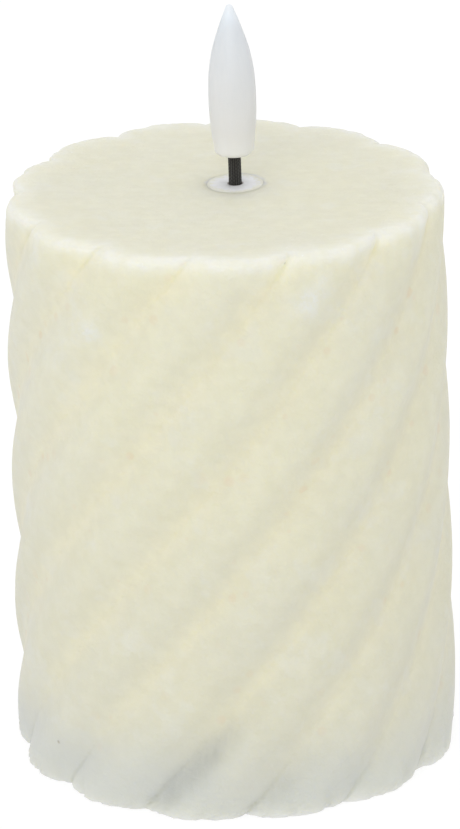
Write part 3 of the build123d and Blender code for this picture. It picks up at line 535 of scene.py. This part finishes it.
def flute_point(lobe, height, inset=0.0):
    """Point on the carved outside of the wax."""
    index = int(lobe)
    share = lobe - index
    drift = lobe_wander(index, height) * (1 - share) + lobe_wander(index + 1, height) * share
    angle = first_groove + lobe * lobe_pitch + twist * height / pillar_height + drift
    radius = scallop_radius(share, height)
    swell = noise.noise(Vector((cos(angle) * 2.1, sin(angle) * 2.1, height * 34)))
    ripple = noise.noise(Vector((cos(angle) * 6.5, sin(angle) * 6.5, height * 120)))
    radius += (0.2 * swell + 0.06 * ripple - 0.22) * MM - rim_wear(angle, height) - inset
    return Vector((radius * cos(angle), radius * sin(angle), height))


def next_ring(bm, ring, place, tag):
    """Extrude a closed ring once and move every new point to its place."""
    grown = bmesh.ops.extrude_edge_only(bm, edges=ring)["geom"]
    points = {v for v in grown if isinstance(v, bmesh.types.BMVert)}
    for point in points:
        point.co = place(point[tag])
    return [e for e in grown if isinstance(e, bmesh.types.BMEdge)
            and e.verts[0] in points and e.verts[1] in points]


def circle_point(lobe, height, radius):
    """Point on a plain ring in line with the spokes of the flutes at this height."""
    angle = first_groove + lobe * lobe_pitch + twist * height / pillar_height
    return Vector((radius * cos(angle), radius * sin(angle), height))


def wick_ring_point(lobe, level, radius):
    angle = first_groove + lobe * lobe_pitch + twist
    return wick_frame @ Vector((radius * cos(angle), radius * sin(angle), level))


def carve_wax():
    bm = bmesh.new()
    tag = bm.verts.layers.float.new("lobe")
    spokes = lobe_count * spokes_per_lobe
    rounding_top = 1.5 * MM
    rounding_foot = 0.45 * MM
    standing_width = 2.2 * MM
    wick_hole_mouth = 9 * MM
    wall_rows = 118
    top_rounding_rows = 6
    foot_rounding_rows = 4
    start = bmesh.ops.create_circle(bm, segments=spokes, radius=crest_radius)["verts"]
    for number, point in enumerate(start):
        point[tag] = number / spokes_per_lobe
        point.co = flute_point(point[tag], rounding_foot)
    ring = list(bm.edges)
    foot_ring = ring
    wall_top = pillar_height - rounding_top
    step = (wall_top - rounding_foot) / wall_rows
    for row in range(1, wall_rows + 1):
        level = rounding_foot + row * step
        ring = next_ring(bm, ring, lambda lobe: flute_point(lobe, level), tag)
    # rounded top rim, then the top face shrinking to the collar seat
    for row in range(1, top_rounding_rows + 1):
        turn = row / top_rounding_rows * pi / 2
        level = wall_top + rounding_top * sin(turn)
        inset = rounding_top * (1 - cos(turn))
        ring = next_ring(bm, ring, lambda lobe: flute_point(lobe, level, inset), tag)
    shrink_rows = 26
    for row in range(1, shrink_rows):
        share = row / shrink_rows

        def on_top(lobe):
            rim = flute_point(lobe, pillar_height, rounding_top)
            seat = wick_ring_point(lobe, 0, collar_seat_radius)
            spot = rim.lerp(seat, share)
            dip = 0.16 * noise.noise(Vector((spot.x * 130, spot.y * 130, 4.2)))
            fade = min(1.0, 4 * share) * min(1.0, 5 * (1 - share))
            spot.z = pillar_height * (1 - share) + seat.z * share + (dip - 0.16) * MM * fade
            return spot

        ring = next_ring(bm, ring, on_top, tag)
    top_seat = next_ring(bm, ring, lambda lobe: wick_ring_point(lobe, 0, collar_seat_radius), tag)
    # rounded foot, standing ring, recess for the base, cavity, and the way out past the wick
    ring = foot_ring
    for row in range(1, foot_rounding_rows + 1):
        turn = row / foot_rounding_rows * pi / 2
        level = rounding_foot * (1 - sin(turn))
        inset = rounding_foot * (1 - cos(turn))
        ring = next_ring(bm, ring, lambda lobe: flute_point(lobe, level, inset), tag)
    arc_middle = 0.29
    inside = [
        (0.0, recess_radius + standing_width), (0.0, recess_radius + recess_mouth),
        (recess_mouth, recess_radius), (recess_depth * 0.5, recess_radius),
        (recess_depth, recess_radius), (recess_depth, cavity_radius),
        (cavity_top * 0.5, cavity_radius), (cavity_top - cavity_fillet, cavity_radius),
        (cavity_top - cavity_fillet * arc_middle, cavity_radius - cavity_fillet * arc_middle),
        (cavity_top, cavity_radius - cavity_fillet),
    ]
    for level, radius in inside:
        ring = next_ring(bm, ring, lambda lobe: circle_point(lobe, level, radius), tag)
    for depth, radius in [(cavity_top - pillar_height, wick_hole_mouth),
                          (cavity_top - pillar_height, collar_hole_radius),
                          (-collar_seat_depth, collar_hole_radius),
                          (-collar_seat_depth, collar_seat_radius)]:
        ring = next_ring(bm, ring, lambda lobe: wick_ring_point(lobe, depth, radius), tag)
    bmesh.ops.bridge_loops(bm, edges=ring + top_seat)
    bmesh.ops.remove_doubles(bm, verts=bm.verts, dist=0.002 * MM)
    bmesh.ops.recalc_face_normals(bm, faces=bm.faces)
    return finish_mesh(bm, "wax_shell")


def finish_mesh(bm, name):
    """Turn a bmesh into a smooth-shaded object at the origin."""
    mesh = bpy.data.meshes.new(name)
    for face in bm.faces:
        face.smooth = True
    bm.to_mesh(mesh)
    bm.free()
    made = bpy.data.objects.new(name, mesh)
    bpy.context.scene.collection.objects.link(made)
    return made


# (degrees round the wax, height, reach along the groove, strength), in millimetres
smudges = [(-101.5, 9.0, 8.0, 0.45), (-80.0, 4.5, 5.0, 0.18)]


def on_side(across, height):
    """Place on the front of the wax this far across it and this far up."""
    return Vector((across * MM, -sqrt(crest_radius ** 2 - (across * MM) ** 2), height * MM))


blooms = [(on_side(-23.5, 85.5), 2.2 * MM), (on_side(-17.0, 86.5), 1.7 * MM),
          (on_side(14.0, 92.0), 2.6 * MM), (on_side(22.0, 89.0), 1.6 * MM),
          (on_side(-33.0, 96.0), 1.8 * MM), (on_side(31.0, 62.0), 1.5 * MM),
          (on_side(16.5, 96.0), 1.3 * MM), (on_side(18.0, 93.0), 1.2 * MM)]


def mark_wax(piece):
    """Store where the wax is grooved, rimmed, brushed flat, smudged, bloomed and near the wick."""
    mesh = piece.data
    lobes = [item.value for item in mesh.attributes["lobe"].data]
    names = ("groove", "rim", "top", "smudge", "halo", "bloom")
    for name in names:
        mesh.attributes.new(name, "FLOAT", "POINT")
    marks = {name: mesh.attributes[name] for name in names}
    for number, vertex in enumerate(mesh.vertices):
        spot = vertex.co
        share = lobes[number] % 1.0
        radius = sqrt(spot.x ** 2 + spot.y ** 2)
        on_top = spot.z > pillar_height - 0.6 * MM
        groove = abs(2 * share - 1) ** 2
        edge = max(0.0, scallop_radius(share, pillar_height) - radius) if on_top else 0.0
        drop = max(0.0, pillar_height - spot.z)
        nearness = exp(-(edge / (4.5 * MM)) ** 2) * exp(-(drop / (2.2 * MM)) ** 2)
        off_wick = (spot - wick_foot).length
        marks["groove"].data[number].value = 0.0 if on_top else groove
        marks["rim"].data[number].value = nearness
        marks["top"].data[number].value = 1.0 if on_top else 0.0
        marks["halo"].data[number].value = max(0.0, 1 - off_wick / (2 * collar_seat_radius))
        marks["bloom"].data[number].value = sum(
            exp(-((spot - place).length / reach) ** 2) for place, reach in blooms)
        angle = atan2(spot.y, spot.x)
        dark = 0.0
        for middle, level, reach, strength in smudges:
            lag = angle - radians(middle) - twist * (spot.z - level * MM) / pillar_height
            lag = (lag + pi) % tau - pi
            across = lag * crest_radius / (3.0 * MM)
            along = (spot.z - level * MM) / (reach * MM)
            dark += strength * exp(-across ** 2 - along ** 2)
        marks["smudge"].data[number].value = min(1.0, dark)


wax_shell = carve_wax()
mark_wax(wax_shell)
wax_shell.data.materials.append(make_ivory_wax("ivory_wax", 1.0))
wax_shell.data.materials.append(make_ivory_wax("ivory_wax_by_collar", 0.0))
for face in wax_shell.data.polygons:
    if (face.center - wick_foot).length < collar_finish_reach:
        face.material_index = 1
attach(wax_shell, "candle")
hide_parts("wax_pillar")


# ------------------------------------------------------------------ flame, collar and wick
wick_exposed = 5.3 * MM
flame_height = 26.4 * MM
flame_radius = 4.02 * MM
flame_tip_radius = 0.65 * MM
flame_foot_flat = 2.2 * MM
flame_shape = [(0.84, 0.045), (0.96, 0.2), (1, 0.375), (0.955, 0.545), (0.785, 0.7), (0.47, 0.855)]
led_seat_radius = 2.05 * MM
led_seat_depth = 0.9 * MM
led_hole_radius = 1.6 * MM


def smooth_line(points, cuts):
    """Points on a smooth curve through these, cuts to each stretch."""
    points = [Vector(point) for point in points]
    ends = [2 * points[0] - points[1]] + points + [2 * points[-1] - points[-2]]
    line = []
    for before, first, second, after in zip(ends, ends[1:], ends[2:], ends[3:]):
        for cut in range(cuts):
            t = cut / cuts
            line.append(tuple(
                0.5 * (2 * b + (c - a) * t + (2 * a - 5 * b + 4 * c - d) * t * t
                       + (3 * b - a - 3 * c + d) * t ** 3)
                for a, b, c, d in zip(before, first, second, after)))
    return line + [tuple(points[-1])]


def arc_line(centre, radius, start, end, cuts):
    """Points on an arc, angles in degrees."""
    turns = [radians(start + (end - start) * cut / cuts) for cut in range(cuts + 1)]
    return [(centre[0] + radius * cos(t), centre[1] + radius * sin(t)) for t in turns]


def lathe(name, outline, place, steps=96, closed=False):
    """Spin an outline of (radius, height) points about its axis, then set it in place."""
    bm = bmesh.new()
    along = bm.verts.layers.float.new("along")
    points = [bm.verts.new((radius, 0, height)) for radius, height in outline]
    for point in points:
        point[along] = point.co.z
    edges = [bm.edges.new(pair) for pair in zip(points, points[1:])]
    if closed:
        edges.append(bm.edges.new((points[-1], points[0])))
    bmesh.ops.spin(bm, geom=points + edges, cent=(0, 0, 0), axis=(0, 0, 1), angle=tau,
                   steps=steps, use_merge=True)
    bmesh.ops.remove_doubles(bm, verts=bm.verts, dist=0.0005 * MM)
    bmesh.ops.recalc_face_normals(bm, faces=bm.faces)
    bmesh.ops.transform(bm, matrix=place, verts=bm.verts)
    return finish_mesh(bm, name)


def settle(piece, body, node, finish):
    """Give a new piece its finish, its body and the node that it stands for."""
    piece.data.materials.append(finish)
    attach(piece, body)
    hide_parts(node)


def turn_flame():
    side = [(flame_radius * across, flame_height * up) for across, up in flame_shape]
    slope = atan2(0.42, 1)
    tip_centre = (0.0, flame_height - flame_tip_radius)
    tip = arc_line(tip_centre, flame_tip_radius, slope * 180 / pi, 90, 8)
    foot_radius = ((side[0][0] - flame_foot_flat) ** 2 + side[0][1] ** 2) / (2 * side[0][1])
    foot = arc_line((flame_foot_flat, foot_radius), foot_radius, -90, -6, 10)
    outside = foot[:-1] + smooth_line(side + [tip[0]], 8)[:-1] + tip
    wall = 0.9 * MM
    lens_room = 0.7 * MM
    inside = [(max(0.0, radius - wall), height) for radius, height in smooth_line(side, 3)[2:]]
    hollow = [(0.0, inside[-1][1] + wall)] + inside[::-1]
    seat = [(led_hole_radius, led_seat_depth + lens_room), (led_hole_radius, led_seat_depth),
            (led_seat_radius, led_seat_depth), (led_seat_radius, 0.0)]
    outline = [(0.0, flame_height)] + outside[::-1][1:] + seat[::-1] + hollow[::-1]
    return lathe("flame_shell", outline, wick_frame @ Matrix.Translation((0, 0, wick_exposed)))


settle(turn_flame(), "candle", "flame_cap", make_flame_plastic())


def turn_collar():
    """Flange with a softly rounded rim, let into the wax, and its tube."""
    bore = 0.8 * MM
    sleeve_hole = 1.15 * MM
    tube = 2.95 * MM
    flange = 4.75 * MM
    soft = 0.06 * MM
    rim = arc_line((flange - soft, -soft), soft, 90, 0, 6)
    outline = [(sleeve_hole, -0.1 * MM), (sleeve_hole + 0.12 * MM, 0.0)] + rim
    outline += [(flange, -collar_seat_depth), (tube, -collar_seat_depth),
                (tube, -collar_tube_length), (bore, -collar_tube_length),
                (bore, -wick_socket_depth), (sleeve_hole, -wick_socket_depth)]
    return lathe("collar", outline, wick_frame, closed=True)


settle(turn_collar(), "candle", "wick_collar", make_collar_plastic())


def weave_wick():
    """Braided sleeve: ribs that sway as the strands cross, open down the middle."""
    bm = bmesh.new()
    tag = bm.verts.layers.float.new("lobe")
    crown = bm.verts.layers.float.new("crown")
    strands = 18
    around = strands * 8
    radius = 1.1 * MM
    bore = 0.75 * MM
    groove = 0.13 * MM
    foot = -wick_socket_depth
    weave_pitch = 0.62 * MM
    rows = 96

    def strand_height(lobe, level):
        angle = lobe * tau
        sway = 0.9 * sin(level * tau / weave_pitch + (int(lobe * strands) % 2) * pi)
        return abs(cos(angle * strands / 2 + 0.5 * sway))

    def outer(lobe, level):
        reach = radius - groove * (1 - strand_height(lobe, level))
        return wick_frame @ Vector((reach * cos(lobe * tau), reach * sin(lobe * tau), level))

    def inner(lobe, level):
        return wick_frame @ Vector((bore * cos(lobe * tau), bore * sin(lobe * tau), level))

    start = bmesh.ops.create_circle(bm, segments=around, radius=radius)["verts"]
    for number, point in enumerate(start):
        point[tag] = number / around
        point.co = outer(point[tag], foot)
    first = ring = list(bm.edges)
    for row in range(1, rows + 1):
        level = foot + (wick_exposed - foot) * row / rows
        ring = next_ring(bm, ring, lambda lobe: outer(lobe, level), tag)
        for edge in ring:
            for point in edge.verts:
                point[crown] = strand_height(point[tag], level)
    ring = next_ring(bm, ring, lambda lobe: inner(lobe, wick_exposed), tag)
    ring = next_ring(bm, ring, lambda lobe: inner(lobe, foot), tag)
    bmesh.ops.bridge_loops(bm, edges=ring + first)
    bmesh.ops.recalc_face_normals(bm, faces=bm.faces)
    return finish_mesh(bm, "woven_wick")


settle(weave_wick(), "candle", "wick_sleeve", make_wick_cloth())


# ------------------------------------------------------------------ cells
# (radius, height) in millimetres, from the flat end to the button
cell_outline = [
    (0.0, 0.2), (4.8, 0.2), (5.1, 0.02), (6.75, 0.0), (7.1, 0.15), (7.25, 0.5), (7.25, 1.0),
    (7.25, 24.0), (7.25, 48.2), (7.25, 48.9), (7.1, 49.32), (6.7, 49.5), (6.2, 49.3), (5.9, 49.05),
    (3.3, 49.05), (3.05, 49.2), (2.75, 49.6), (2.75, 50.1), (2.5, 50.4), (0.0, 50.5)]


def make_cell(side, name, node, body, finish):
    low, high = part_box(node)
    middle = (low + high) / 2
    flat_end = high[0] if side > 0 else low[0]
    lay_down = Matrix.Translation((flat_end, middle[1], middle[2])) @ Matrix.Rotation(
        -side * pi / 2, 4, "Y")
    outline = [(radius * MM, height * MM) for radius, height in cell_outline]
    cell = lathe(name, outline, lay_down, steps=72)
    turn = cell.data.attributes.new("turn", "FLOAT", "POINT")
    for number, vertex in enumerate(cell.data.vertices):
        spot = vertex.co - middle
        turn.data[number].value = atan2(spot.y, -spot.z)
    settle(cell, body, node, finish)


cell_can = make_cell_can()
make_cell(1, "cell_left", "battery_cell_1", "cell_1", cell_can)
make_cell(-1, "cell_right", "battery_cell_2", "cell_2", cell_can)


# ------------------------------------------------------------------ finishes on the frame's own parts
base_plastic = moulded("base_plastic", "EAE6DA", "DAD5C6", 0.42, Specular_IOR_Level=0.45)
red_insulation = make_insulation("red_insulation", "B3161B")
black_insulation = make_insulation("black_insulation", "151517")
steel_plate = metal("contact_metal", "CFCDC8", "9E9A90", 0.22, (1.0, 0.15, 1.0))
screw_steel = metal("screw_steel", "BDBDBF", "8C8A86", 0.26, (1.0, 1.0, 0.2))
spring_wire = metal("spring_wire", "C9C8C6", "8F8C85", 0.24, (0.3, 1.0, 1.0))
finishes = {
    "base_housing": base_plastic,
    "housing_cover": base_plastic,
    "battery_door": moulded("door_plastic", "EBE7DB", "D6D1C2", 0.40, Specular_IOR_Level=0.45),
    "switch_slider": moulded("slider_plastic", "161617", "4A4A4A", 0.45),
    "switch_case": metal("switch_metal", "C2C2C0", "8E8B84", 0.28, (0.2, 1.0, 1.0)),
    "cover_screws": screw_steel,
    "board_screws": screw_steel,
    "positive_plate": steel_plate,
    "negative_plate": steel_plate,
    "bridge_plate": steel_plate,
    "negative_spring": spring_wire,
    "bridge_spring": spring_wire,
    "control_board": make_circuit_board(),
    "timer_chip": make_chip_epoxy(),
    "smoothing_capacitor": make_capacitor_sleeve(),
    "timing_resistor": make_resistor_body(),
    "clock_crystal": metal("tinned_can", "C6C6C4", "96948E", 0.2, (1.0, 0.2, 1.0)),
    "flame_led": moulded("led_lens", "F1EBD2", "E6DFC2", 0.12, 500.0, 0.005,
                         Subsurface_Weight=0.5, Subsurface_Scale=0.001),
    "led_legs": metal("tinned_wire", "C4C3BE", "8D8A82", 0.24, (1.0, 1.0, 0.2)),
    "splice_sleeves": moulded("heat_shrink", "151516", "3A3A3A", 0.5, 1100.0, 0.05),
    "led_lead_red": red_insulation,
    "led_lead_black": black_insulation,
    "battery_lead_red": red_insulation,
    "battery_lead_black": black_insulation,
}
for node, finish in finishes.items():
    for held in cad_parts[node].material_slots:
        held.material = finish


# ------------------------------------------------------------------ floor, light and camera
def make_floor():
    bm = bmesh.new()
    bmesh.ops.create_grid(bm, x_segments=1, y_segments=1, size=6.0)
    bmesh.ops.translate(bm, verts=bm.verts, vec=(0, 0, -0.02 * MM))
    floor = finish_mesh(bm, "studio_floor")
    made = bpy.data.materials.new("studio_floor")
    made.use_nodes = True
    tree = made.node_tree
    tree.nodes.clear()
    paper = put(tree, "ShaderNodeBsdfDiffuse", ("Color", (0.93, 0.93, 0.93, 1)))
    clear = put(tree, "ShaderNodeBsdfTransparent")
    seen = put(tree, "ShaderNodeLightPath").outputs["Is Camera Ray"]
    back = put(tree, "ShaderNodeNewGeometry").outputs["Backfacing"]
    shown = calc(tree, "MULTIPLY", seen, calc(tree, "SUBTRACT", 1.0, back))
    glow = put(tree, "ShaderNodeEmission", ("Strength", 1.1))
    lifted = put(tree, "ShaderNodeMixShader", (0, 0.72), (1, paper.outputs[0]), (2, glow.outputs[0]))
    mixed = put(tree, "ShaderNodeMixShader", (0, shown), (1, clear.outputs[0]), (2, lifted.outputs[0]))
    put(tree, "ShaderNodeOutputMaterial", ("Surface", mixed.outputs[0]))
    floor.data.materials.append(made)


def softbox(name, place, target, width, height, watts):
    lamp = bpy.data.lights.new(name, "AREA")
    lamp.shape = "RECTANGLE"
    lamp.size = width
    lamp.size_y = height
    lamp.energy = watts
    made = bpy.data.objects.new(name, lamp)
    made.location = place
    made.rotation_euler = (Vector(target) - Vector(place)).to_track_quat("-Z", "Y").to_euler()
    bpy.context.scene.collection.objects.link(made)


def make_light():
    world = bpy.data.worlds.new("studio")
    world.use_nodes = True
    seen = put(world.node_tree, "ShaderNodeLightPath").outputs["Is Camera Ray"]
    room_light = 0.80
    backdrop_extra = 0.3
    extra = calc(world.node_tree, "MULTIPLY", seen, backdrop_extra)
    bright = calc(world.node_tree, "ADD", extra, room_light)
    backdrop = world.node_tree.nodes["Background"]
    backdrop.inputs["Color"].default_value = (1.0, 1.0, 1.0, 1)
    world.node_tree.links.new(bright, backdrop.inputs["Strength"])
    bpy.context.scene.world = world
    middle = (0, 0, 0.06)
    softbox("key_softbox", (-0.5, -1.6, 1.1), middle, 1.4, 1.4, 9.0)
    softbox("top_softbox", (0.3, 0.3, 1.7), middle, 1.4, 1.4, 2.5)


def make_camera():
    """Long lens, a little above the candle, tipped slightly so the candle leans left."""
    distance = 1.1033
    raised = radians(21.84)
    tipped = radians(1.406)
    raise_aim = 8.35
    shift_aim = -0.16
    aim = Vector((0, 0, pillar_height / 2))
    back = Vector((0, -cos(raised), sin(raised)))
    across = Vector((1, 0, 0))
    upward = back.cross(across)
    right = across * cos(tipped) - upward * sin(tipped)
    top = upward * cos(tipped) + across * sin(tipped)
    place = aim + back * distance
    target = aim + top * raise_aim * MM + right * shift_aim * MM
    look = (place - target).normalized()
    side = (right - look * right.dot(look)).normalized()
    lens = bpy.data.cameras.new("camera")
    lens.sensor_fit = "VERTICAL"
    lens.sensor_height = 36.0
    lens.lens = 279.4
    lens.clip_start = 0.05
    lens.clip_end = 20.0
    made = bpy.data.objects.new("camera", lens)
    turned = Matrix((side, look.cross(side), look)).transposed().to_4x4()
    made.matrix_world = Matrix.Translation(place) @ turned
    bpy.context.scene.collection.objects.link(made)
    bpy.context.scene.camera = made


make_floor()
make_light()
make_camera()
bpy.context.scene.view_settings.view_transform = "Standard"
